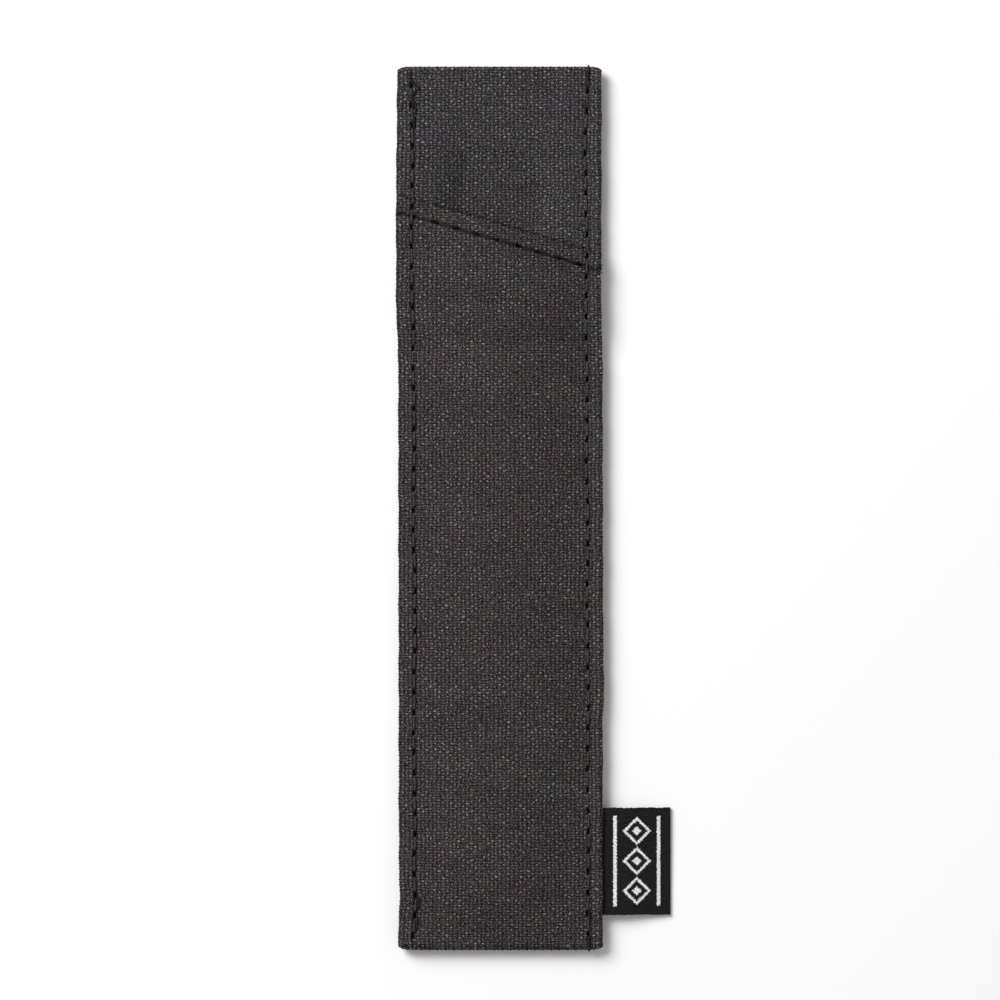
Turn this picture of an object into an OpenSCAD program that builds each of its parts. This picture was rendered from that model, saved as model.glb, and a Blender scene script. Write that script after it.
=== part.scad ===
// Flat cloth sleeve for one pen, sewn from one folded strip and lying on its back.
// Millimetres. +Y runs to the open end, +X to the label and +Z to the front.
// The origin is in the middle of the flat of the back that it rests on.

/* [Cloth strip] */
// Length of the finished sleeve, from the bottom fold to the top fold
sleeve_l = 165; // [140:1:200]
// Width of the finished sleeve, from edge to edge
sleeve_w = 38; // [34:1:60]
// Thickness of one layer of the coated cloth
cloth_t = 0.4; // [0.3:0.05:0.6]
// Hairline between layers that only lie on each other
layer_gap = 0.03; // [0.02:0.01:0.06]

/* [Mouth] */
// Drop from the top fold to the mouth, at the left edge
mouth_drop_left = 23.8; // [15:0.1:37]
// Drop from the top fold to the mouth, at the right edge
mouth_drop_right = 34.8; // [15:0.1:37]
// Depth of the mouth's turned hem, along the sleeve
hem_depth = 5.2; // [4.5:0.1:6.5]
// Distance of the hem's stitches below the mouth, along the sleeve
hem_stitch_in = 3.4; // [2:0.1:4]
// Depth of the facing, from the top fold down to its free end
facing_depth = 46.6; // [45:0.1:60]

/* [Side seams] */
// Distance from each side edge to its row of stitches
seam_in = 2.8; // [2.2:0.1:3.6]
// Width of the cloth turned in along each side edge
turn_w = 5.5; // [4.8:0.1:7]
// Length over which the front edges climb on to the facing
climb_l = 14; // [6:0.5:18]

/* [Stitches] */
// Diameter of the sewing thread
thread_d = 0.35; // [0.2:0.05:0.45]
// Length of one stitch in the side seams
seam_pitch = 3.8; // [2.5:0.1:5]
// Length of one stitch in the mouth hem
hem_pitch = 4; // [2.5:0.1:5]
// Part of each stitch that is drawn down into its needle hole
hole_l = 0.8; // [0.4:0.1:1.2]
// Distance from the top fold to the first needle hole, on the left
left_start = 2.5; // [1:0.1:6]
// Distance from the top fold to the first needle hole, on the right
right_start = 1; // [1:0.1:6]
// Distance from the last needle hole to the bottom fold, at least
seam_end = 1.5; // [1:0.1:6]

/* [Pocket] */
// Clear height inside the empty sleeve, between the hem and the facing
pen_room = 4.2; // [4.2:0.1:9]
// Width that has the whole clear height
pen_w = 10; // [8:0.5:14]
// Height of the side edges above what the sleeve lies on
seam_lift = 1; // [0.6:0.1:2]
// Width of the flat of the back that the sleeve rests on
rest_w = 12; // [8:0.5:18]
// Length over which the walls close to the bottom fold
bottom_taper = 12; // [8:0.5:25]
// Length over which the back and its facing flatten to the top fold
top_taper = 28; // [15:0.5:40]
// Length over which the front rises towards the mouth
front_rise = 40; // [20:1:60]

/* [Label] */
// Width of the label's tape, along the sleeve
label_w = 20; // [12:0.5:28]
// Length of the folded label outside the edge
label_out = 12.8; // [8:0.1:25]
// Thickness of one layer of the tape
label_t = 0.2; // [0.12:0.01:0.22]
// Distance from the bottom fold to the middle of the label
label_up = 16.5; // [14:0.5:60]
// Length of each tape end inside the seam
label_tail_l = 5; // [4:0.1:6]

/* [Clearances] */
// Gap between a piece that flexes and its neighbour
flex_gap = 0.3; // [0.2:0.05:0.4]
// Gap between a thread or tape and the cloth that it lies on
thread_gap = 0.02; // [0.02:0.01:0.05]

/* [Hidden] */
$fn = 48;
half_w = sleeve_w / 2;
half_l = sleeve_l / 2;
// The end folds are half tubes round two turned layers
fold_r = 2 * cloth_t;
end_y = half_l - fold_r;
// The layers of a side edge, from below: back and its turned edge, then two of the facing or front
back_edge_z = seam_lift;
upper_edge_z = back_edge_z + 2 * cloth_t;
edge_top_z = upper_edge_z + 2 * cloth_t;
turn_x = half_w - turn_w;
seam_x = half_w - seam_in;
// The sewn part of the front ends just inside the stitches, and the part that flexes starts there
edge_in_x = seam_x - thread_d / 2 - 0.1;
panel_x = edge_in_x - flex_gap;
facing_y = half_l - facing_depth;
rest_x = rest_w / 2;
facing_floor_z = 2 * cloth_t + layer_gap;
// How full the front's cross-section is: 2 is a parabola, and more is flatter in the middle
fullness = 2.4;
pen_share = 1 - pow(pen_w / 2 / panel_x, fullness);
hem_stack = cloth_t + layer_gap + thread_d + 2 * thread_gap;
room_gap = 0.1;
mouth_under_z = facing_floor_z + pen_room + room_gap + hem_stack;
mouth_crown = (mouth_under_z - edge_top_z - cloth_t - flex_gap) / pen_share;
low_under_z = cloth_t + pen_room + room_gap;
low_crown = (low_under_z - upper_edge_z - cloth_t - flex_gap) / pen_share;
label_y = label_up - half_l;
flap_axis_x = half_w + flex_gap + label_t;
// Length over which the cloth rises beside the label
bed_slope = 0.6;
cloth_colour = [0.24, 0.22, 0.22];
inside_colour = [0.27, 0.25, 0.25];
thread_colour = [0.15, 0.14, 0.14];
label_colour = [0.1, 0.1, 0.1];

// Smooth step from 0 to 1, and a straight blend of two values
function ease(u) = let (v = min(1, max(0, u))) v * v * (3 - 2 * v);
function mix(a, b, u) = a + (b - a) * u;
function steps(a, b, n) = [for (i = [0:n]) mix(a, b, i / n)];

// Height of the mouth along the sleeve: a straight slant, higher on the left
function mouth_y(x) = half_l - mix(mouth_drop_left, mouth_drop_right, (x + half_w) / sleeve_w);

// How far the back bellies out: 1 along the middle, 0 at the end folds and at the side edges
function belly(x, y) =
    ease((y + end_y) / bottom_taper) * ease((end_y - y) / top_taper)
    * (1 - ease((abs(x) - rest_x) / (turn_x - rest_x)));
function back_z(x, y) = back_edge_z * (1 - belly(x, y));
// The facing lies on the back where it bellies out, and level with the edges elsewhere
function facing_z(x, y) =
    mix(edge_top_z - cloth_t, back_z(x, y) + cloth_t + layer_gap, belly(x, y));

// The front edges lie on the back's edges, and on the facing's above its free end
function climb(y) = ease((y - facing_y + climb_l) / climb_l);
function front_edge_z(y) = upper_edge_z + 2 * cloth_t * climb(y);
function crown(y) =
    ease((y + end_y) / bottom_taper)
    * mix(low_crown, mouth_crown, ease((y - facing_y + front_rise) / front_rise));
function front_z(x, y) =
    front_edge_z(y) + cloth_t + flex_gap + crown(y) * (1 - pow(abs(x) / panel_x, fullness));

// A closed skin over rings of points that all have the same count. The triangles of cap close
// the last ring, and the first one the other way round.
module skin(rings, cap) {
    n = len(rings[0]);
    last = (len(rings) - 1) * n;
    sides = [
        for (i = [0:len(rings) - 2], j = [0:n - 1])
        let (a = i * n + j, b = i * n + (j + 1) % n)
        each [[a, b, b + n], [a, b + n, a + n]]
    ];
    first_end = [for (t = cap) [t[2], t[1], t[0]]];
    last_end = [for (t = cap) [for (j = t) last + j]];
    polyhedron([for (ring = rings) each ring], concat(sides, first_end, last_end));
}

// The triangles between points i and i + 1 of a ring's under side and those above them
function strip(count, above) = [
    for (i = [0:count - 2])
    each [[i, i + 1, above - i - 1], [i, above - i - 1, above - i]]
];
// The triangles from one point of a ring to each pair of the points in order
function fan(apex, points) = [for (i = [0:len(points) - 2]) [apex, points[i], points[i + 1]]];

function reversed(list) = [for (i = [len(list) - 1:-1:0]) list[i]];

// Rows in rising order, and those of rows that keep clear of others
function sorted(rows) = len(rows) < 2 ? rows : concat(
    sorted([for (y = rows) if (y < rows[0]) y]),
    [rows[0]],
    sorted([for (y = rows) if (y > rows[0]) y])
);
function apart(rows, others) = [for (y = rows) if (min([for (o = others) abs(y - o)]) > bed_slope / 2) y];

// A ring across the sleeve: the under side from left to right, and back over the upper side
function slab_ring(under, over) = concat(under, reversed(over));
function slab_cap(count) = strip(count, 2 * count - 1);

// The label's ends press a bed into both turned layers that they lie between
function label_bed(y) =
    (label_t + thread_gap) * ease((label_w / 2 + bed_slope - abs(y - label_y)) / bed_slope);
bed_ys = [
    for (side = [-1, 1], i = [0:3])
    label_y + side * (label_w / 2 + (side < 0 ? 3 - i : i) * bed_slope / 3)
];
// Half the room between the lower and the upper layers of an edge
function split(x, y) = max(layer_gap / 2, x > 0 ? label_bed(y) : 0);

// The round fold of a side edge, from angle a to b about the line between its two layers
function fold_arc(a, b) =
    [for (v = steps(a, b, 4)) [half_w - cloth_t + cloth_t * cos(v), cloth_t * sin(v)]];

// A layer with both side edges turned over on to it, at y. Outer and inner hold the heights of its
// two faces over xs, centre is the height of the line between it and its turned edges, and up is 1
// where they lie above it and -1 where they lie below
function turned_ring(xs, y, outer, inner, centre, up) =
    let (
        right = [for (p = fold_arc(-90, 90)) [p[0], y, centre + up * p[1]]],
        left = [for (p = reversed(right)) [-p[0], y, p[2]]],
        right_z = upper_edge_z - up * split(1, y),
        left_z = upper_edge_z - up * split(-1, y)
    )
    concat(
        [for (i = [0:len(xs) - 1]) [xs[i], y, outer[i]]],
        [for (p = right) [p[0], y, up > 0 ? min(p[2], right_z) : max(p[2], right_z)]],
        [[turn_x, y, right_z], [turn_x, y, inner[len(xs) - 1]]],
        reversed([for (i = [1:len(xs) - 2]) [xs[i], y, inner[i]]]),
        [[-turn_x, y, inner[0]], [-turn_x, y, left_z]],
        [for (p = left) [p[0], y, up > 0 ? min(p[2], left_z) : max(p[2], left_z)]]
    );

// Its cap: the single layer, and the doubled edge on each side round its fold's middle point
function turned_cap(m) = concat(
    strip(m, 2 * m + 5),
    fan(m + 2, [m + 3, m + 4, m + 5, m + 6, m - 1, m, m + 1]),
    fan(2 * m + 9, [2 * m + 10, 2 * m + 11, 0, 2 * m + 5, 2 * m + 6, 2 * m + 7, 2 * m + 8])
);

// A ring swung by angle a round the line where an end fold has its centre
function swung(ring, y, a) = [
    for (p = ring)
    let (r = p[2] - upper_edge_z)
    [p[0], y - r * sin(a), upper_edge_z + r * cos(a)]
];

module back_panel() {
    xs = concat(steps(-turn_x, -rest_x, 6), steps(rest_x, turn_x, 6));
    slope_ys = concat(steps(-end_y, bottom_taper - end_y, 6), steps(end_y - top_taper, end_y, 7));
    ys = sorted(concat(apart(slope_ys, bed_ys), bed_ys));
    rings = [
        for (y = ys)
        turned_ring(
            xs, y,
            [for (x = xs) back_z(x, y)],
            [for (x = xs) back_z(x, y) + cloth_t],
            back_edge_z + cloth_t, 1
        )
    ];
    fold = [for (a = [-180:30:-30]) swung(rings[0], -end_y, a)];
    color(cloth_colour)
        skin(concat(fold, rings), turned_cap(len(xs)));
}

module top_facing() {
    xs = concat(steps(-turn_x, -rest_x, 6), steps(rest_x, turn_x, 6));
    ys = concat([facing_y], steps(end_y - top_taper, end_y, 7));
    rings = [
        for (y = ys)
        turned_ring(
            xs, y,
            [for (x = xs) facing_z(x, y) + cloth_t],
            [for (x = xs) facing_z(x, y)],
            upper_edge_z + cloth_t, -1
        )
    ];
    fold = [for (a = [-30:-30:-180]) swung(rings[len(rings) - 1], end_y, a)];
    color(inside_colour)
        mirror([0, 0, 1])
            skin(
                [for (ring = concat(rings, fold)) [for (p = ring) [p[0], p[1], -p[2]]]],
                turned_cap(len(xs))
            );
}

// The sewn edge of the front on one side: -1 is the left and 1 the right.
// Its turned layer reaches further in than its outer layer, which ends inside the stitches.
module front_edge(side) {
    // The ring's points 0 to 4 are the fold, from below, and 8 is the free lower corner
    edge_cap = fan(1, [2, 3, 4, 5, 6, 7, 8, 0]);
    ys = concat([-end_y], bed_ys, steps(facing_y - climb_l, facing_y, 6), [half_l]);
    rings = [
        for (y = ys)
        let (z = front_edge_z(y), low = z + split(side, y))
        [
            for (p = concat(
                [for (q = fold_arc(-90, 90)) [q[0], max(low, z + cloth_t + q[1])]],
                [[edge_in_x, z + fold_r], [edge_in_x, z + cloth_t], [turn_x, z + cloth_t], [turn_x, low]]
            ))
            [p[0], min(y, mouth_y(side * p[0])), p[1]]
        ]
    ];
    color(cloth_colour)
        mirror([side < 0 ? 1 : 0, 0, 0])
            skin(rings, edge_cap);
}

module front_panel() {
    xs = [for (a = [-90:11.25:90]) panel_x * sin(a)];
    start_y = flex_gap - end_y;
    rise_y = facing_y - front_rise;
    ys = concat(
        steps(start_y, bottom_taper - end_y, 6),
        steps(rise_y, facing_y - climb_l, 4),
        [for (y = steps(facing_y - climb_l, facing_y, 4)) if (y > facing_y - climb_l) y]
    );
    rings = concat(
        [
            for (y = ys)
            slab_ring(
                [for (x = xs) [x, y, front_z(x, y)]],
                [for (x = xs) [x, y, front_z(x, y) + cloth_t]]
            )
        ],
        [
            slab_ring(
                [for (x = xs) [x, mouth_y(x), front_z(x, facing_y)]],
                [for (x = xs) [x, mouth_y(x), front_z(x, facing_y) + cloth_t]]
            )
        ]
    );
    color(cloth_colour)
        skin(rings, slab_cap(len(xs)));
}

// Height of the hem's under side, one layer below the front
function hem_z(x) = front_z(x, facing_y) - layer_gap - cloth_t;

module mouth_hem() {
    hem_x = turn_x - flex_gap;
    xs = [for (a = [-90:11.25:90]) hem_x * sin(a)];
    rings = [
        for (down = [hem_depth, 0])
        slab_ring(
            [for (x = xs) [x, mouth_y(x) - down, hem_z(x)]],
            [for (x = xs) [x, mouth_y(x) - down, hem_z(x) + cloth_t]]
        )
    ];
    color(cloth_colour)
        skin(rings, slab_cap(len(xs)));
}

// One visible stitch: a bar of thread from hole a to hole b, short of both
module stitch(a, b) {
    d = b - a;
    l = norm(d);
    translate(a + d * (hole_l / 2 / l))
        rotate([0, acos(d[2] / l), atan2(d[1], d[0])])
            cylinder(h = l - hole_l, d = thread_d, $fn = 16);
}

function thread_lift() = thread_d / 2 + thread_gap;

// Height of the upper face under a side seam's stitches
function seam_top_z(x, y) = y > mouth_y(x) ? edge_top_z : front_edge_z(y) + fold_r;

// A side seam's needle thread on top, along x from the first hole at y0 to the bottom
module needle_row(x, y0) {
    count = floor((y0 + half_l - seam_end) / seam_pitch);
    color(thread_colour)
        for (i = [0:count - 1]) {
            ya = y0 - i * seam_pitch;
            yb = ya - seam_pitch;
            za = seam_top_z(x, ya);
            zb = seam_top_z(x, yb);
            over_mouth = ya > mouth_y(x) && yb <= mouth_y(x);
            stitch(
                [x, ya, (over_mouth ? max(za, zb) : za) + thread_lift()],
                [x, yb, zb + thread_lift()]
            );
        }
}

// Its bobbin thread below, level along the back's edge
module bobbin_row(x, y0) {
    count = floor((y0 + half_l - seam_end) / seam_pitch);
    z = back_edge_z - thread_lift();
    color(thread_colour)
        for (i = [0:count - 1])
            stitch([x, y0 - i * seam_pitch, z], [x, y0 - (i + 1) * seam_pitch, z]);
}

// Needle holes of the hem, evenly spaced along its slant and centred
slant = (mouth_y(half_w) - mouth_y(-half_w)) / sleeve_w;
hem_step = hem_pitch / sqrt(1 + slant * slant);
hem_count = floor(2 * (turn_x - flex_gap) / hem_step);
hem_xs = [for (i = [0:hem_count]) (i - hem_count / 2) * hem_step];

// The mouth hem's stitches from hole to hole, above or below the faces whose heights at hem_xs are zs
module hem_row(zs, lift) {
    holes = [for (i = [0:hem_count]) [hem_xs[i], mouth_y(hem_xs[i]) - hem_stitch_in, zs[i] + lift]];
    color(thread_colour)
        for (i = [0:hem_count - 1])
            stitch(holes[i], holes[i + 1]);
}

// On top, a little higher than at the holes, because the straight stitches cut across the crown
module mouth_needle_thread() {
    crown_lift = cloth_t / 4;
    hem_row([for (x = hem_xs) front_z(x, facing_y) + cloth_t], thread_lift() + crown_lift);
}

module mouth_bobbin_thread() {
    hem_row([for (x = hem_xs) hem_z(x)], -thread_lift());
}

// Where the hem's needle thread crosses the two sewn side edges
module mouth_thread_ends() {
    z = edge_top_z + fold_r + thread_lift();
    color(thread_colour)
        for (side = [-1, 1]) {
            xa = side * (seam_x + thread_d / 2 + thread_gap - hole_l / 2);
            xb = side * (half_w - cloth_t + hole_l / 2);
            stitch([xa, mouth_y(xa) - hem_stitch_in, z], [xb, mouth_y(xb) - hem_stitch_in, z]);
        }
}

module label_tail() {
    color(label_colour)
        for (z = [upper_edge_z - label_t, upper_edge_z + layer_gap / 2])
            translate([half_w - label_tail_l, label_y - label_w / 2, z])
                cube([label_tail_l, label_w, label_t - layer_gap / 2]);
}

// The folded tape outside the seam, round at the fold and at the line where it flexes
module side_label() {
    flat_l = half_w + label_out - label_t - flap_axis_x;
    color(label_colour)
        translate([flap_axis_x, label_y + label_w / 2, upper_edge_z])
            rotate([90, 0, 0])
                linear_extrude(label_w) {
                    circle(label_t);
                    translate([0, -label_t])
                        square([flat_l, 2 * label_t]);
                    translate([flat_l, 0])
                        circle(label_t);
                }
}

back_panel();
top_facing();
front_edge(-1);  // left_front_edge
front_edge(1);  // right_front_edge
needle_row(-seam_x, half_l - left_start);  // left_needle_thread
bobbin_row(-seam_x, half_l - left_start);  // left_bobbin_thread
needle_row(seam_x, half_l - right_start);  // right_needle_thread
bobbin_row(seam_x, half_l - right_start);  // right_bobbin_thread
mouth_thread_ends();
label_tail();
front_panel();
mouth_hem();
mouth_needle_thread();
mouth_bobbin_thread();
side_label();
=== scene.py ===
import bpy
import numpy as np
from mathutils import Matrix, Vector


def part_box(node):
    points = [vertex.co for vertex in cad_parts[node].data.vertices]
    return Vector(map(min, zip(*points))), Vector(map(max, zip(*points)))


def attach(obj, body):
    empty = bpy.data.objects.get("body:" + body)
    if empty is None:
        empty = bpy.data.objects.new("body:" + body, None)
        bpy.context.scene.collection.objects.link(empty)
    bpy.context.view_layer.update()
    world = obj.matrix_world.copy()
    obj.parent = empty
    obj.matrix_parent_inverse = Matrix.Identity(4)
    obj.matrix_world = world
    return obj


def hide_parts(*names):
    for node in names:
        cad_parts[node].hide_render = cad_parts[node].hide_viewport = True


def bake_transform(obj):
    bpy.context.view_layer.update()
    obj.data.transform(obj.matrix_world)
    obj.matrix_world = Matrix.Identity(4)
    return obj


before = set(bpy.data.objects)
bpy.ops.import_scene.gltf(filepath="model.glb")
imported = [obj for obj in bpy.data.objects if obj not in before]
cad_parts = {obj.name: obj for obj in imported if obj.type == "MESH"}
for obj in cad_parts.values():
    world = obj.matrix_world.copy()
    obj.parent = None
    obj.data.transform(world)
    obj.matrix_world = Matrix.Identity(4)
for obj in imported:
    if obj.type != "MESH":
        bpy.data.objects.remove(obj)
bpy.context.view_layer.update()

# The back wall, with the bottom fold and the facing: the middle of one strip of coated polyester.
# The strip is plain-woven, folded up at the bottom, and folded down into the sleeve at the top.
# Sizes from here on are in millimetres, and a mesh is scaled to metres when it is made.
MM = 0.001
back_high = np.array(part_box("back_panel")[1]) / MM
facing_low, facing_high = (np.array(corner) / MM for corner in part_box("top_facing"))
LAYER = 0.4               # one layer of the cloth in the stack of a seam
CLOTH_T = 0.37            # the cloth itself, so that layers lie a hair apart
WARP, WEFT = 0.758, 0.5043  # from yarn to yarn, across and along the strip
HALF_W = back_high[0]
END_Y = back_high[1]
FACING_Y = facing_low[1]
BACK_EDGE_Z = facing_high[2] - 4 * LAYER
STACK_Z = BACK_EDGE_Z + 2 * LAYER
FOLD_R = 1.5 * LAYER      # the middle of the cloth round the end folds
FOLD_X = HALF_W - LAYER
REST_X, TURN_X = 6.0, 13.5  # the back lies on the table up to one, and edges turn in to the other
SPLIT_X = 15.0            # the middle's mesh ends here, and the finer one of the edges begins
BOTTOM_TAPER, TOP_TAPER = 12.0, 28.0  # the back rises to the end folds over these lengths
YARN_RELIEF = 0.15        # height of a yarn's hump
SIDE_PHASE, END_PHASE = 0.41, -0.69  # bring a yarn's crown to the outermost line of a fold
FACING_GAP = 0.03         # the facing lies this far off the back
BACK_STEP, FOLD_ROWS = 1.5, 9  # from row to row of the back's mesh, and rows round each end fold
LABEL_Y, LABEL_W = -66.0, 20.0
TAIL_BULGE = 0.17         # how far the label's ends part the layers of the right seam
SHARP_ANGLE = 1.1         # radians between two faces, beyond which their edge is drawn sharp


def ease(u):
    """Smooth step: 0 below 0, 1 above 1, and three squares less two cubes between."""
    u = np.clip(u, 0, 1)
    return u * u * (3 - 2 * u)


def yarns(u, v):
    """Height of a plain weave over the strip's own width u and length v: one round hump in each
    cell, full where the lengthwise yarn is on top and lower where the crosswise one is."""
    cell_u, cell_v = np.floor(u / WARP), np.floor(v / WEFT)
    hump = np.sin(np.pi * (u / WARP - cell_u)) * np.sin(np.pi * (v / WEFT - cell_v))
    return hump * np.where((cell_u + cell_v) % 2 == 0, 1.0, 0.55)


def edge_shift(side, y):
    """How far a hand-folded side edge lies outside the straight line, over the sleeve's length."""
    if side < 0:
        places = [-82, -72, -62, 30, 36, 58, 82]
        return np.interp(y, places, [0.05, -0.18, -0.05, 0.08, 0.42, 0.44, 0.2])
    places = [-82, -40, -33, -22, 30, 37, 60, 82]
    return np.interp(y, places, [0.05, 0.05, 0.3, 0.12, 0.0, -0.3, -0.2, -0.2])


def moved(x, y):
    """Places across the sleeve with the edge's shift, which fades out towards the middle, and a
    fine waver of the fold with a wavelength of a few millimetres."""
    side = np.where(x < 0, -1.0, 1.0)
    shift = np.where(side < 0, edge_shift(-1, y), edge_shift(1, y))
    waver = 0.05 * np.sin(y / 1.9 + side) + 0.04 * np.sin(y / 0.83 + 2 * side)
    return x + side * (shift + waver) * ease((np.abs(x) - 10) / 8)


def drawn_in(x, y):
    """Places along the sleeve, drawn in at its corners: by half a millimetre times the square of how
    far a place lies into the outer two millimetres, fading out four millimetres from the end."""
    corner = np.clip((np.abs(x) - 17) / 2, 0, 1) ** 2
    return y - np.sign(y) * 0.5 * corner * ease((np.abs(y) - 78) / 4)


def belly(x, y):
    """1 where the back lies on the table, easing to 0 at the end folds and the side edges."""
    ends = ease((y + END_Y) / BOTTOM_TAPER) * ease((END_Y - y) / TOP_TAPER)
    return ends * (1 - ease((np.abs(x) - REST_X) / (TURN_X - REST_X)))


def label_bulge(x, y):
    """How far the label's ends part the right seam's layers: up to one tape, easing at its sides."""
    beside = ease((LABEL_W / 2 + 0.8 - np.abs(y - LABEL_Y)) / 0.8)
    return TAIL_BULGE * beside * ease((x - 12.5) / 1.5)


def strip_path(step, fold_rows):
    """The way along the strip, from the bottom fold over the back and the top fold to the facing's
    end: for each row its place, the direction out of the fold's centre line, and which part it is."""
    bend = np.linspace(0, np.pi, fold_rows)
    back = np.linspace(-END_Y, END_Y, round(2 * END_Y / step) + 1)[1:-1]
    facing = np.linspace(END_Y, FACING_Y, round((END_Y - FACING_Y) / step) + 1)[1:]
    y = np.concatenate([np.full(fold_rows, -END_Y), back, np.full(fold_rows, END_Y), facing])
    out_y = np.concatenate([-np.sin(bend), 0 * back, np.sin(bend), 0 * facing])
    out_z = np.concatenate([np.cos(bend), 0 * back - 1, -np.cos(bend), 0 * facing + 1])
    part = np.concatenate([0 * bend, 0 * back + 1, 0 * bend + 2, 0 * facing + 3])
    return y, out_y, out_z, part


def arc_length(*coordinates):
    """Distance along a line from its first point, summed over its straight steps."""
    steps = np.sqrt(sum(np.diff(c) ** 2 for c in coordinates))
    return np.concatenate([[0], np.cumsum(steps)])


def sheet_piece(name, middle, u, v, thickness, materials, relief=0.0, dent=0.0, shade=None):
    """A closed sheet round a grid of middle points: each face lies half a thickness along the
    normal, a dent moves both inwards, relief lifts the outer one, and quads close the borders."""
    middle = middle.astype(float)
    rows, cols = middle.shape[:2]
    normal = np.cross(np.gradient(middle, axis=1), np.gradient(middle, axis=0))
    normal /= np.linalg.norm(normal, axis=2, keepdims=True)
    middle = middle - normal * np.broadcast_to(dent, (rows, cols))[..., None]
    rise = thickness / 2 + np.broadcast_to(relief, (rows, cols))
    points = np.concatenate([middle + normal * rise[..., None], middle - normal * thickness / 2])
    out = np.arange(rows * cols).reshape(rows, cols)
    inn = out + rows * cols
    quads = [
        (out[:-1, :-1], out[:-1, 1:], out[1:, 1:], out[1:, :-1]),
        (inn[:-1, :-1], inn[1:, :-1], inn[1:, 1:], inn[:-1, 1:]),
        (inn[0, :-1], inn[0, 1:], out[0, 1:], out[0, :-1]),
        (out[-1, :-1], out[-1, 1:], inn[-1, 1:], inn[-1, :-1]),
        (inn[:-1, 0], out[:-1, 0], out[1:, 0], inn[1:, 0]),
        (out[:-1, -1], inn[:-1, -1], inn[1:, -1], out[1:, -1]),
    ]
    faces = [np.stack([corner.ravel() for corner in quad], axis=1) for quad in quads]
    mesh = bpy.data.meshes.new(name)
    mesh.from_pydata((points.reshape(-1, 3) * MM).tolist(), [], np.concatenate(faces).tolist())
    slots = np.repeat([0, 1, 0, 0, 0, 0], [len(f) for f in faces])
    smooth = np.ones(sum(len(f) for f in faces), bool)
    mesh.polygons.foreach_set("material_index", slots.astype(np.int32))
    mesh.polygons.foreach_set("use_smooth", smooth)
    uv = np.stack([np.broadcast_to(u, (rows, cols)), np.broadcast_to(v, (rows, cols))], -1)
    uv = np.tile(uv.reshape(-1, 2), (2, 1))
    corners = np.empty(len(mesh.loops), np.int32)
    mesh.loops.foreach_get("vertex_index", corners)
    strip_map = mesh.uv_layers.new(name="strip")
    strip_map.data.foreach_set("uv", (uv[corners] * MM).astype(np.float32).ravel())
    if shade is not None:
        attribute = mesh.attributes.new("shade", "FLOAT", "POINT")
        attribute.data.foreach_set("value", np.tile(shade.ravel(), 2).astype(np.float32))
    for material in materials:
        mesh.materials.append(material)
    mesh.set_sharp_from_angle(angle=SHARP_ANGLE)
    piece = bpy.data.objects.new(name, mesh)
    bpy.context.scene.collection.objects.link(piece)
    return piece


def linear(hex_colour):
    """An sRGB hex colour as linear red, green, blue and alpha, by the sRGB transfer curve."""
    srgb = np.array([int(hex_colour[i:i + 2], 16) for i in (1, 3, 5)]) / 255
    rgb = np.where(srgb <= 0.04045, srgb / 12.92, ((srgb + 0.055) / 1.055) ** 2.4)
    return (*rgb.tolist(), 1.0)


def node(tree, kind, inputs=None, **settings):
    """Adds one shader node with its settings, and sets or links its inputs by name or number."""
    made = tree.nodes.new("ShaderNode" + kind)
    for key, value in settings.items():
        setattr(made, key, value)
    for key, value in (inputs or {}).items():
        if isinstance(value, bpy.types.NodeSocket):
            tree.links.new(value, made.inputs[key])
        else:
            made.inputs[key].default_value = value
    return made


def new_material(name):
    """An empty node material and its tree."""
    material = bpy.data.materials.new(name)
    material.use_nodes = True
    material.node_tree.nodes.clear()
    return material, material.node_tree


def finish_material(tree, colour, normal, roughness, specular):
    """One principled surface with a patterned colour and bump and even gloss."""
    surface = node(
        tree, "BsdfPrincipled",
        {
            "Base Color": colour, "Normal": normal,
            "Roughness": roughness, "Specular IOR Level": specular,
        },
    )
    node(tree, "OutputMaterial", {"Surface": surface.outputs[0]})


# 600-denier polyester in plain weave: charcoal yarns, with paler lengthwise ones that show as a
# checkerboard of bright dots, and melange yarns that streak the cloth brownish, green and purple.
# The back's end is turned over at the top, where its yarns lie the other way; the back's pieces
# take a slightly cooler copy of the colours, a painted sheen.
WANDER, SNAG, GRAIN = 130.0, 1500.0, 3100.0  # noise cells to a metre: 7.7, 0.67 and 0.32 mm each


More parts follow.
